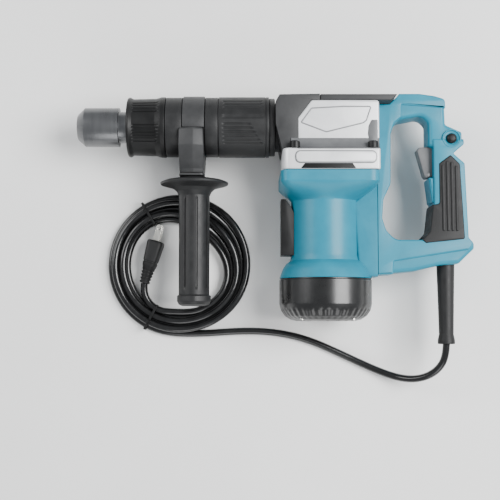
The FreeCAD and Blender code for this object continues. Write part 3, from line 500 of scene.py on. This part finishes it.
def coil_spot(turn):
    """A point of the coil after so many turns, clockwise from its lowest side."""
    angle = -90 - 360 * turn
    whole = math.floor(turn)
    step = whole + smooth((turn - whole - INWARD) / (1 - INWARD))
    reach = COIL_REACH - step * pitch(angle)
    changes = math.floor(turn - SWAP + CROSSING)
    part = smooth((turn - SWAP + CROSSING - changes) / (2 * CROSSING))
    before, after = ((CORD_RADIUS, UPPER), (UPPER, CORD_RADIUS))[changes % 2]
    height = before + (after - before) * part
    if turn < SWAP - CROSSING:
        height = CORD_RADIUS
    around = math.radians(angle)
    return (COIL_CENTRE[0] + reach * math.cos(around),
            COIL_CENTRE[1] + reach * math.sin(around), height)


def add_cord():
    first = 1 / POINTS_PER_TURN
    count = int((TURNS - 2 * first) * POINTS_PER_TURN) + 1
    coil = [coil_spot(first + k / POINTS_PER_TURN) for k in range(count)]
    route = LEAD_ROUTE + coil + TAIL_ROUTE
    data = bpy.data.curves.new("cord", "CURVE")
    data.dimensions = "3D"
    data.bevel_depth = CORD_RADIUS * MM
    data.bevel_resolution = 5
    data.use_fill_caps = True
    spline = data.splines.new("NURBS")
    spline.points.add(len(route) - 1)
    for point, spot in zip(spline.points, route):
        point.co = (*(c * MM for c in spot), 1)
    spline.order_u = 3
    spline.use_endpoint_u = True
    spline.resolution_u = 5
    data.materials.append(CORD)
    item = bpy.data.objects.new("cord", data)
    bpy.context.scene.collection.objects.link(item)
    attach(item, "root")
    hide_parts("cord_lead", "cord_coil", "cord_tail")


def add_cord_guard():
    outline = [(-50, 0), (-50, 12, 1), (-54, 12, 1), (-54, 9.2), (-62, 9, 3), (-96, 8.1),
               (-128.5, 7.4, 5), (-134.5, 8.7, 2), (-138.3, 8.7, 0.8), (-138.3, 0)]
    mesh = turned("y", (174.3, 0, MID), outline, steps=64)
    return stand_in("cord_guard", mesh, RUBBER)


TIES = [(121, 49.1), (242, 47.8)]    # each tie's angle, and the inside of the coil there


def add_ties():
    """Two thin straps round the bunched turns, each with its twisted end."""
    straps = []
    for angle, inside in TIES:
        around = [(inside, 0.9, 2.5), (77, 0.6, 2.5), (77, 15.6, 3), (inside, 15.6, 3)]
        inner = [(inside + 0.9, 1.5, 2.2), (76.1, 1.2, 2.2), (76.1, 14.8, 2.6),
                 (inside + 0.9, 14.8, 2.6)]
        mesh = slab(around, -1.2, 1.2, 0.3, [inner[::-1]], normal="y")
        knot = slab([(64, 15.2, 0.8), (71, 15.2, 0.8), (70, 16, 0.3), (65, 16, 0.3)],
                    -1.9, 1.9, 0.3, normal="y")
        both = merged(mesh, knot)
        both.transform(Matrix.Translation((COIL_CENTRE[0] * MM, COIL_CENTRE[1] * MM, 0))
                       @ Matrix.Rotation(math.radians(angle), 4, "Z"))
        straps.append(both)
    return stand_in("cord_ties", merged(*straps), BLACK)


PLUG_HEADING = 74.5     # in degrees from +X
BLADE_OFFSET = 6.35     # from the plug's middle to the middle of each blade
BLADE_HALF = 0.75       # half a blade's thickness


def plug_frame():
    return (TO_METRES @ Matrix.Translation(TAIL_ROUTE[-1])
            @ Matrix.Rotation(math.radians(PLUG_HEADING), 4, "Z"))


def add_plug():
    """A ribbed neck that grows into a flat two-blade plug with a stepped front."""
    stations = [(0, 4.6, 4.6, 2.0), (0.6, 5.4, 5.4, 2.0)]
    for k in range(4):
        start = 2.2 + 3.4 * k
        size = 5.6 + 0.35 * k
        stations += [(start, size, size, 2.0), (start + 0.5, size - 0.9, size - 0.9, 2.0),
                     (start + 1.5, size - 0.9, size - 0.9, 2.0), (start + 2.0, size, size, 2.0)]
    stations += [(16.0, 6.6, 7.4, 2.4), (18.0, 6.9, 9.6, 3.0), (19.0, 7.2, 10.6, 3.5),
                 (22.0, 7.5, 11.4, 4.0), (22.6, 7.0, 10.9, 4.0), (23.6, 7.0, 10.9, 4.0),
                 (24.2, 7.7, 11.6, 4.0), (33.0, 8.3, 11.9, 4.5), (43.5, 8.9, 11.7, 4.5),
                 (45.2, 8.5, 11.2, 4.5), (46.0, 7.6, 10.2, 4.5), (46.0, 0, 0, 2.0)]
    steps = 48
    work = bmesh.new()
    rings = []
    for along, thick, wide, power in [(0, 0, 0, 2.0)] + stations:
        if not thick:
            rings.append([work.verts.new((along, 0, 0))] * steps)
            continue
        ring = []
        for k in range(steps):
            c, s = math.cos(2 * math.pi * k / steps), math.sin(2 * math.pi * k / steps)
            ring.append(work.verts.new((along,
                                        thick * math.copysign(abs(c) ** (2 / power), c),
                                        wide * math.copysign(abs(s) ** (2 / power), s))))
        rings.append(ring)
    join_rings(work, rings)
    mesh = mesh_of("plug", work)
    mesh.transform(plug_frame())
    body = stand_in("plug_body", mesh, RUBBER)
    blades = []
    for level in (-BLADE_OFFSET, BLADE_OFFSET):
        outline = [(44, -3.2), (61, -3.2, 1.2), (63.4, -1.8, 0.5), (63.4, 1.8, 0.5),
                   (61, 3.2, 1.2), (44, 3.2)]
        hole = [(59.3 + 1.7 * math.cos(-a * math.pi / 8), 1.7 * math.sin(-a * math.pi / 8))
                for a in range(16)]
        blades.append(slab(outline, level - BLADE_HALF, level + BLADE_HALF, 0.1,
                           [hole], soft=1))
    both = merged(*blades)
    both.transform(plug_frame() @ Matrix.Diagonal((1 / MM, 1 / MM, 1 / MM, 1)))
    return body, stand_in("plug_blades", both, BLADE)


# ---------------------------------------------------------------- nose and barrel

def rib_depth(angle, groups, width, depth):
    """How deep the surface is cut at an angle, in degrees from the upper side towards +Y."""
    for start, end, count in groups:
        for k in range(count):
            middle = start + (end - start) * k / max(1, count - 1)
            off = abs((angle - middle + 180) % 360 - 180)
            if off < width:
                return depth * smooth((width - off) / (0.45 * width))
    return 0.0


def seen_angle(angle):
    """Degrees from the upper side (+Z) towards +Y, for a part turned about X."""
    return (90 - math.degrees(angle)) % 360


def both_sides(*groups):
    """Groups of cuts (first angle, last angle, count), repeated on the underside."""
    return [(base + start, base + end, count) for base in (0, 180)
            for start, end, count in groups]


RIBBED = (-144.5, -117)    # the stretch of the change ring that is ribbed
RING_RIBS = both_sides((22, 47, 4), (-38, -6, 6))
SLEEVE_UPPER = both_sides((30, 48, 3))
SLEEVE_BAND = both_sides((10.6, 10.6, 1))
SLEEVE_LOWER = both_sides((-41, -4, 6))
RIB_WIDTH = 2.2         # half a sleeve groove's width in degrees
RIB_DEPTH = 1.0


def add_nose():
    stand_in("tool_holder", softened("tool_holder", 1.1, 3), DARK_STEEL)

    def ribs(place, radius, angle):
        if RIBBED[0] < place < RIBBED[1] and radius > 27:
            share = between(place, RIBBED, 2)
            return place, radius - share * rib_depth(seen_angle(angle), RING_RIBS, 2.0, 0.9)
        return place, radius
    outline = [(-149.4, 25, 0.4), (-149.4, 30.0, 0.8), (-147.2, 30.7, 1), (-144.0, 28.9, 3),
               (-120.6, 29.4, 3), (-115.1, 31, 1.0), (-110.7, 31, 0.8), (-110.7, 19.3),
               (-131, 19.3), (-131, 25)]
    mesh = turned("x", BIT, outline, closed=True, steps=360, shape=ribs, spacing=1.2)
    stand_in("change_ring", mesh, BLACK)


def add_barrel():
    stand_in("barrel", softened("barrel", 0.8), CHARCOAL)

    def grooves(place, radius, angle):
        if radius <= 30:
            return place, radius
        turn = seen_angle(angle)
        slant = -12 - 12 * ((turn % 180 - 139) / 37)    # the lower grooves end on a slant
        start = smooth((place + 52.5) / 1.5)
        cuts = [rib_depth(turn, groups, width, depth) * start * smooth((end - place) / 2)
                for groups, width, depth, end in ((SLEEVE_UPPER, RIB_WIDTH, RIB_DEPTH, -12),
                                                  (SLEEVE_BAND, 4.5, 0.8, -11),
                                                  (SLEEVE_LOWER, RIB_WIDTH, RIB_DEPTH, slant))]
        return place, radius - max(cuts)
    outline = [(-56.7, 28.1), (-56.7, 31, 0.8), (-9.5, 31), (-9.2, 30.4, 0.2), (-8.6, 30.4, 0.2),
               (-8.3, 31), (-5.3, 31, 1.0), (-5.3, 28.1)]
    mesh = turned("x", BIT, outline, closed=True, steps=480, shape=grooves, spacing=1.2)
    stand_in("barrel_sleeve", mesh, CHARCOAL)


# ---------------------------------------------------------------- side handle

# Each station of the saddle: y, its front, middle and rear x, and half its width.
SADDLE = [(77.6, -95, -81.8, -73, 35), (76, -96, -81.8, -71.8, 36),
          (60, -96.2, -81.8, -71.2, 36), (38, -96, -81.8, -71.6, 23),
          (34, -95.8, -81.8, -71.8, 22)]
SEAT_RADIUS = 28.7      # of the hollow that the barrel lies in
FLUTED = (-84, 11)      # the stretch of the side grip that is fluted
FLUTES = 8
FLUTE_TURN = 12         # degrees from +X to the first
FLUTE_HALF = 4.5        # half a flute's width in degrees
FLUTE_DEPTH = 1.3


def clamp_block_mesh():
    """The saddle under the barrel, with a ridge down the middle of each side."""
    work = bmesh.new()
    rings = []
    for y, front, middle, rear, half in SADDLE:
        outline = [(front, half - 3), (middle, half), (rear, half - 3)]
        outline += [(x, -z) for x, z in outline[::-1]]
        rings.append([work.verts.new((x, y, MID + z)) for x, z in outline])
    join_rings(work, rings)
    work.faces.new(rings[0])
    work.faces.new(rings[-1])
    mesh = mesh_of("block", work)
    mesh.transform(TO_METRES)
    seat = turned("x", BIT, [(-100, 0), (-100, SEAT_RADIUS), (-60, SEAT_RADIUS), (-60, 0)])
    block = carved(mesh, 0.9, seat)
    base = slab([(-96.2, 27, 4), (-96.2, 67, 4), (-71, 67, 4), (-71, 27, 4)], 31.4, 33.9, 0.6,
                normal="y")
    return merged(block, base)


def add_side_handle():
    stand_in("clamp_band", softened("clamp_band", 0.7), SLATE)
    stand_in("clamp_block", clamp_block_mesh(), SLATE)

    def flutes(place, radius, angle):
        turn = math.degrees(angle)
        if radius > 15 and FLUTED[0] < place < FLUTED[1]:
            share = between(place, FLUTED, 3)
            for k in range(FLUTES):
                off = abs((turn - 360 / FLUTES * k - FLUTE_TURN + 180) % 360 - 180)
                if off < FLUTE_HALF:
                    cut = FLUTE_DEPTH * share * smooth((FLUTE_HALF - off) / 1.2)
                    return place, radius - cut
        if radius > 16 and place < -90:
            flat = 0.5 * (1 + math.cos(math.radians(6 * turn)))     # the six-sided end
            return place, radius - 0.5 * flat
        return place, radius
    outline = [(-61, 0), (-61, 4.1), (31, 4.1), (31, 15.5, 1), (28.2, 30, 2), (26.2, 35, 0.8),
               (24, 34.4, 0.8), (20.5, 22, 4), (17, 18, 3), (12.6, 15.7, 3), (-88.4, 15.6),
               (-89.9, 17.6, 0.6), (-95.3, 17.6, 2), (-98.4, 15.4, 2), (-99.9, 11.6, 1),
               (-99.9, 0)]
    mesh = turned("y", SIDE, outline, steps=240, shape=flutes, spacing=1.6)
    stand_in("side_grip", mesh, CHARCOAL)


# ---------------------------------------------------------------- gear housing

HOUSING_HALF = 37       # from the middle plane to the housing's side
FLANGE_HALF = 44.8      # and to the flange's
HOUSING_SIDE = [(23, 54), (103.6, 54), (103.6, 104.3, 3), (36.5, 104.3, 3), (23, 86.5, 3)]
BADGE = [(24.9, 81.3, 1.5), (50.8, 71.4, 3), (88, 80.6, 2), (91.3, 83.4, 2), (96.3, 98.2, 2),
         (67.4, 98.2), (36, 96.5, 3)]
# Outline of a recess in the housing's side; the dark sheet laid over it is painted shade, not a
# hollow.
RECESS_SHADE = [(93.6, 60.8, 1), (101.9, 60.8, 1), (101.9, 84.2, 1), (95.5, 84.2, 2), (92.6, 78, 5),
          (91.9, 70, 5)]
# A dark rim 1.2 mm wider than the flange's bar all round: painted shadow line along the bar's
# edge.
FLANGE_SHADOW_LINE = [(19.4, 39.5, 5), (100, 39.5, 5), (100, 52.4, 5), (19.4, 52.4, 5)]
FLANGE_BAR = [(20.6, 40.7, 4), (98.8, 40.7, 4), (98.8, 51.2, 4), (20.6, 51.2, 4)]
# Outline of a vent opening in the flange, covered by a black sheet as painted shade of its dark
# inside.
FLANGE_VENT_SHADE = [(25, 34.6, 0.5), (79.6, 34.6, 0.5), (76, 39.6, 1.5), (29, 39.6, 1.5)]


def shrunk(points, amount):
    """The outline moved inwards: its corners slide along their bisectors."""
    spots = [Vector(p[:2]) for p in points]
    area = sum(a.x * b.y - b.x * a.y for a, b in zip(spots, spots[1:] + spots[:1]))
    side = 1 if area > 0 else -1
    made = []
    for i, (corner, point) in enumerate(zip(spots, points)):
        before = (corner - spots[i - 1]).normalized()
        after = (spots[(i + 1) % len(spots)] - corner).normalized()
        inwards = Vector((-before.y - after.y, before.x + after.x)).normalized() * side
        half = math.cos(before.angle(after) / 2)
        made.append((*(corner + inwards * amount / half),
                     max(0.2, (point[2] if len(point) > 2 else 0) - amount)))
    return made


def skirt(sign):
    """The concave sweep from the housing's side down to its flange, coloured dark grey as painted
    shade in the hollow.

    The profile gives y and how far out from the housing's side the sweep is there.
    """
    profile = [(66, 0.0), (63, 0.1), (60.5, 0.6), (58.3, 1.7), (56.6, 3.4), (55.5, 5.8),
               (54.9, 8.2), (54.0, 8.2), (54.0, -2), (66, -2)]
    work = bmesh.new()
    ends = []
    for x, pull in ((16, 1.0), (23, 0.0), (101, 0.0), (103.4, 0.5)):
        face = []
        for y, out in profile:
            lift = out if out < 0 else out * (1 - 0.5 * pull)
            face.append(work.verts.new((x, y, MID + sign * (HOUSING_HALF + lift))))
        ends.append(face)
    join_rings(work, ends)
    work.faces.new(ends[0])
    work.faces.new(ends[-1])
    mesh = mesh_of("skirt", work)
    mesh.transform(TO_METRES)
    return mesh


def add_gear_housing():
    block = slab(HOUSING_SIDE, MID - HOUSING_HALF, MID + HOUSING_HALF, 2.2)
    low, high = MID - FLANGE_HALF, MID + FLANGE_HALF
    plan = [(7.5, low, 8), (103.6, low, 3), (103.6, high, 3), (7.5, high, 8)]
    flange = slab(plan, 34, 55, 1.2, normal="y")
    stand_in("gear_housing", merged(block, flange), SILVER)
    for side, sign in (("left", 1), ("right", -1)):
        line = side_slab(BADGE, sign, HOUSING_HALF - 0.5, HOUSING_HALF + 0.45, 0.3,
                         [shrunk(BADGE, 1.3)[::-1]], soft=2)
        piece("housing_frame_" + side, line, PEWTER_LINE_AND_SHADE, "root")
        # The skirt's dark grey is painted shade, darker than the silver side above it.
        piece("housing_skirt_" + side, skirt(sign), SHADE_GREY, "root")
        # A thin dark grey sheet a little proud of the side: painted shade of the recess.
        recess_shade = side_slab(RECESS_SHADE, sign, HOUSING_HALF - 0.5, HOUSING_HALF + 0.3, 0.25, soft=1)
        piece("housing_recess_shade_" + side, recess_shade, SHADE_GREY, "root")
        under = FLANGE_HALF - 2
        # The pewter rim showing round the bar is a painted shadow line.
        groove = side_slab(FLANGE_SHADOW_LINE, sign, under, FLANGE_HALF + 0.35, 0.2, soft=1)
        piece("flange_shadow_line_" + side, groove, PEWTER_LINE_AND_SHADE, "root")
        bar = side_slab(FLANGE_BAR, sign, under, FLANGE_HALF + 2.2, 1.0)
        piece("flange_bar_" + side, bar, SILVER, "root")
        # A black sheet on the flange: painted shade for the dark inside of the vent opening,
        # which is not cut.
        vent_shade = side_slab(FLANGE_VENT_SHADE, sign, under, FLANGE_HALF + 0.3, 0.25, soft=1)
        piece("flange_vent_shade_" + side, vent_shade, BLACK, "root")


def add_covers():
    stand_in("front_cover", softened("front_cover", 1.6, 3), SLATE)
    stand_in("top_cover", softened("top_cover", 1.2, 3), SLATE)
    heads = []
    for x in (19.5, 96.5):
        for z in (5, 89):
            outline = [(55, 0), (55, 5, 0.2), (61.2, 5, 0.8), (62, 4.2, 0.4), (62, 2.4),
                       (58.5, 2.3), (58.5, 0)]
            heads.append(turned("y", (x, 0, z), outline, steps=40))
    stand_in("flange_bolts", merged(*heads), BLACK)


# ---------------------------------------------------------------- motor

WAIST = [(-72, 47), (-62, 43.2), (-57.8, 40.4), (-56.2, 38.8), (-54.6, 35.9), (-49, 34.8),
         (6.5, 34.6)]    # place along the motor axis and radius
BOWL_TOP = 22.5         # where the bowl has grown into the box of the flange
HOUSING_BOX = (5.5, 103.3, 0, 94, 9)    # low and high x, low and high z, and corner radius
RIB_HALF = 18           # half the rib's thickness
RIB_END = 103.4         # where the rib meets the handle
BORE = 31               # the motor housing's inner radius


def waist_radius(y):
    for (y0, r0), (y1, r1) in zip(WAIST, WAIST[1:]):
        if y <= y1:
            return r0 + (r1 - r0) * (y - y0) / (y1 - y0)
    return WAIST[-1][1]


def skin_radius(y, reach):
    """The housing's radius where the flange box is this far from the axis."""
    start, waist = WAIST[-1]
    part = min(1.0, max(0.0, (y - start) / (BOWL_TOP - start)))
    share = (part + math.sin(math.pi * part / 2)) / 2
    return min(reach, waist_radius(y) + (reach - waist) * share)


def box_reach(angle):
    """Distance from the motor axis to the rounded outline of the housing's flange."""
    low_x, high_x, low_z, high_z, corner = HOUSING_BOX
    cx, cz = (low_x + high_x) / 2, (low_z + high_z) / 2
    hx, hz = (high_x - low_x) / 2, (high_z - low_z) / 2
    dx, dz = math.cos(angle), math.sin(angle)
    near, far = 0.0, 90.0
    for _ in range(24):
        middle = (near + far) / 2
        qx = abs(MOTOR[0] + dx * middle - cx) - (hx - corner)
        qz = abs(MOTOR[2] + dz * middle - cz) - (hz - corner)
        gap = math.hypot(max(qx, 0), max(qz, 0)) + min(max(qx, qz), 0) - corner
        if gap > 0:
            far = middle
        else:
            near = middle
    return near


def add_motor_housing():
    """A shell round the motor, with a rib that runs down its side to the handle."""
    steps = 256
    levels = [WAIST[0][0] + 1.5 * k for k in range(71)]    # from the cap up to the flange
    reach = [box_reach(2 * math.pi * k / steps) for k in range(steps)]
    work = bmesh.new()
    skins = []
    for inner in (False, True):
        skin = []
        for y in levels if not inner else levels[::-1]:
            ring = []
            for k in range(steps):
                angle = 2 * math.pi * k / steps
                r = BORE if inner else skin_radius(y, reach[k])
                ring.append(work.verts.new((MOTOR[0] + r * math.cos(angle), y,
                                            MID + r * math.sin(angle))))
            skin.append(ring)
        skins += skin
    join_rings(work, skins, closed=True)
    shell = mesh_of("shell", work)
    shell.transform(TO_METRES)
    rib = slab([(110, 33), (96, 19), (88, 11), (79, 4, 3), (84.5, -70.8, 3), (110, -70.8)],
               MID - RIB_HALF, MID + RIB_HALF, 2.5)
    rib = cut_flat(rib, (RIB_END, 0, 0), (1, 0, 0))
    stand_in("motor_housing", merged(shell, rib), TEAL)


SLOT_TURN = 18          # degrees from slot to slot in the cap's end
SLOT_HALF = 1.5         # half a slot's width
SLOT_DEPTH = 3.2
CAP_RIBS = 40           # round the cap's curved edge
CAP_RIB_DEPTH = 0.8


def add_motor_cap():
    def vents(place, radius, angle):
        turn = math.degrees(angle) % SLOT_TURN
        if place < -113.5 and 17 < radius < 31:
            wide = math.degrees(SLOT_HALF / radius)
            off = abs((turn + SLOT_TURN / 2) % SLOT_TURN - SLOT_TURN / 2)
            return place + SLOT_DEPTH * smooth((wide + 1 - off) / 1.2), radius
        if -112 < place < -102.5 and radius > 38:
            ripple = 0.5 + 0.5 * math.cos(math.radians(math.degrees(angle) * CAP_RIBS))
            return place, radius - CAP_RIB_DEPTH * ripple * smooth((-102.5 - place) / 1.5)
        return place, radius
    outline = [(-115, 0), (-115, 16), (-115, 17.5), (-115, 30, 1), (-113.6, 35.8, 3),
               (-110, 41.4, 5), (-104.5, 45.4, 5), (-98, 47, 6), (-74, 47), (-73.2, 46.3, 0.3),
               (-72.4, 46.3, 0.3), (-72.2, 45.4), (-72.2, 43.5), (-98, 43.5), (-106, 40),
               (-111, 34), (-111, 14.5), (-98.5, 14.5), (-98.5, 11), (-108.2, 11), (-108.2, 0)]
    mesh = turned("y", MOTOR, outline, steps=360, shape=vents, spacing=1.5)
    stand_in("motor_end_cover", mesh, GLOSS)
    stand_in("vent_grille", softened("vent_grille", 1.2, 3), BLACK)


# ---------------------------------------------------------------- D-handle

SEAM = 104              # where the handle meets the motor and gear housings
BASE_HALF = 16.4        # half the handle's thickness, and of its thicker part
RAISED_HALF = 18
HALF_GAP = 0.15         # half the gap between the left and right shells
HANDLE_OUTLINE = [(94, -69.5), (94, 104.4), (116.4, 104.4), (123.0, 111), (126.5, 115),
                  (147, 115, 8), (162, 112.8, 6), (172.9, 109.5, 4), (173.5, 84, 3),
                  (190.3, 76.5, 3), (190.7, 63.5, 3), (180.0, 54, 1.5), (190.5, 44, 9),
                  (193.5, -31.5, 9), (201, -36.5, 3), (201, -42.5, 3), (185, -58, 6),
                  (166, -59.3, 6), (141, -65.3)]
HAND_OPENING = [(124, 88, 10), (148, 92.5, 9), (155.5, 86, 7), (155.5, 62, 3), (160.5, 60, 2),
                (160.5, -24, 3), (150, -33.7, 4), (121, -33.7, 12), (112, -24, 10),
                (108.2, -12, 8), (109.4, 7, 8), (116.9, 23, 10), (117.4, 74, 12)]
# The thicker part: a C from the top arm's upper edge down the seam and up the hand grip.
RAISED_OUTLINE = [(94, -69.5), (94, 104.4), (116.4, 104.4), (123.0, 111), (126.5, 115),
                  (147, 115, 8), (162, 112.8, 6), (172.9, 109.5, 4), (173.2, 100.2, 0.6),
                  (128.6, 103.6, 0.6), (128.6, 91, 2), (121, 85, 4), (117.4, 74, 8),
                  (116.9, 23, 10), (109.4, 7, 8), (108.2, -12, 8), (112, -24, 10),
                  (121, -33.7, 12), (150, -33.7, 4), (160.5, -24, 3), (160.5, 60, 2),
                  (159.5, 68.6, 2), (173.2, 68.6), (174.3, 65.4), (176.8, 63.3), (181, 63.3),
                  (183.5, 65.4), (184.6, 68.6), (191.3, 68.6, 1), (191.7, 63.5, 3),
                  (180.5, 54, 1.5),
                  (192, 44, 3), (195.0, -31.5, 4), (200, -37, 3), (195.3, -43.8, 1),
                  (119.5, -55.4, 1), (118.5, -68.2, 1)]
FINGER_STRIP = [(155.8, 29.5, 1), (159, 4, 2), (164, 4), (164, 29.5)]
GRIP_OUTLINE = [(165.6, 3, 2), (165.6, 43.5, 1.5), (177.5, 52.5, 2), (187, 43, 3), (191, -33, 2),
                (151.5, -37.2, 1.5), (148, -33.8, 1.5), (156, -25, 6), (159, 1.5, 1.5)]


def add_handle():
    for side, sign in (("left", 1), ("right", -1)):
        base = slab(HANDLE_OUTLINE, MID - BASE_HALF, MID + BASE_HALF, 4.5, [HAND_OPENING],
                    soft=5, inset=0.25)
        raised = slab(RAISED_OUTLINE, MID - RAISED_HALF, MID + RAISED_HALF, 1.8)
        strip = slab(FINGER_STRIP, MID - 15.5, MID + 15.5, 1.5)
        halves = [cut_flat(mesh, (0, 0, MID + sign * HALF_GAP), (0, 0, -sign))
                  for mesh in (base, raised, strip)]
        halves = [cut_flat(mesh, (SEAM, 0, 0), (-1, 0, 0)) for mesh in halves[:2]] + halves[2:]
        stand_in("handle_%s_shell" % side, merged(*halves), TEAL)
    pads = []
    for sign in (1, -1):
        pads.append(side_slab(GRIP_OUTLINE, sign, 13, 18.9, 1.4))
        for left, right, top in ((168.4, 171.4, 42), (172.9, 175.9, 46), (177.4, 180.4, 45),
                                 (181.9, 184.6, 41)):
            ridge = [(left, -25, 1.2), (right, -25, 1.2), (right - 0.5, top, 1.2),
                     (left - 0.5, top, 1.2)]
            pads.append(side_slab(ridge, sign, 16, 19.9, 0.8, soft=2))
    lip = [(158.8, 2, 1.5), (163, 2), (163, -27, 1), (152, -31, 1), (156.4, -24, 4)]
    pads.append(slab(lip, MID - 14.8, MID + 14.8, 1.2))
    stand_in("rubber_grip", merged(*pads), RUBBER)


BUTTON = (178.9, 69.1, 0)    # a point on the lock button's axis, which runs along Z


def add_controls():
    outline = [(145.2, 58.5, 2), (147.5, 61.5, 2), (162, 62.4, 1), (162, 31, 1), (154, 30.3, 1.5),
               (152.2, 33, 1.5)]
    mesh = slab(outline, MID - 8, MID + 8, 1.2, soft=3)
    stand_in("trigger", mesh, TRIGGER_GREY_AND_SHEEN)
    outline = [(MID + 4, 0), (MID + 4, 5, 0.3), (MID + 19.6, 5, 1.6), (MID + 21.4, 3, 2),
               (MID + 21.6, 0)]
    button = turned("z", BUTTON, outline, steps=48)
    stand_in("lock_button", button, BLACK)
    outline = [(MID + 15.5, 5.3), (MID + 17.0, 5.3, 0.3), (MID + 17.4, 7.6, 1.0),
               (MID + 18.5, 8.3, 0.5), (MID + 18.5, 9.2, 0.5), (MID + 17.4, 9.6),
               (MID + 15.5, 9.6)]
    rim = turned("z", BUTTON, outline, closed=True, steps=64)
    piece("lock_button_rim", rim, TEAL, "root")


# ---------------------------------------------------------------- build

paint_nodes()
add_camera()
guard = add_cord_guard()
ties = add_ties()
plug, blades = add_plug()
add_cord()
add_studio()
add_nose()
add_barrel()
add_side_handle()
add_gear_housing()
add_covers()
add_motor_housing()
add_motor_cap()
add_handle()
add_controls()
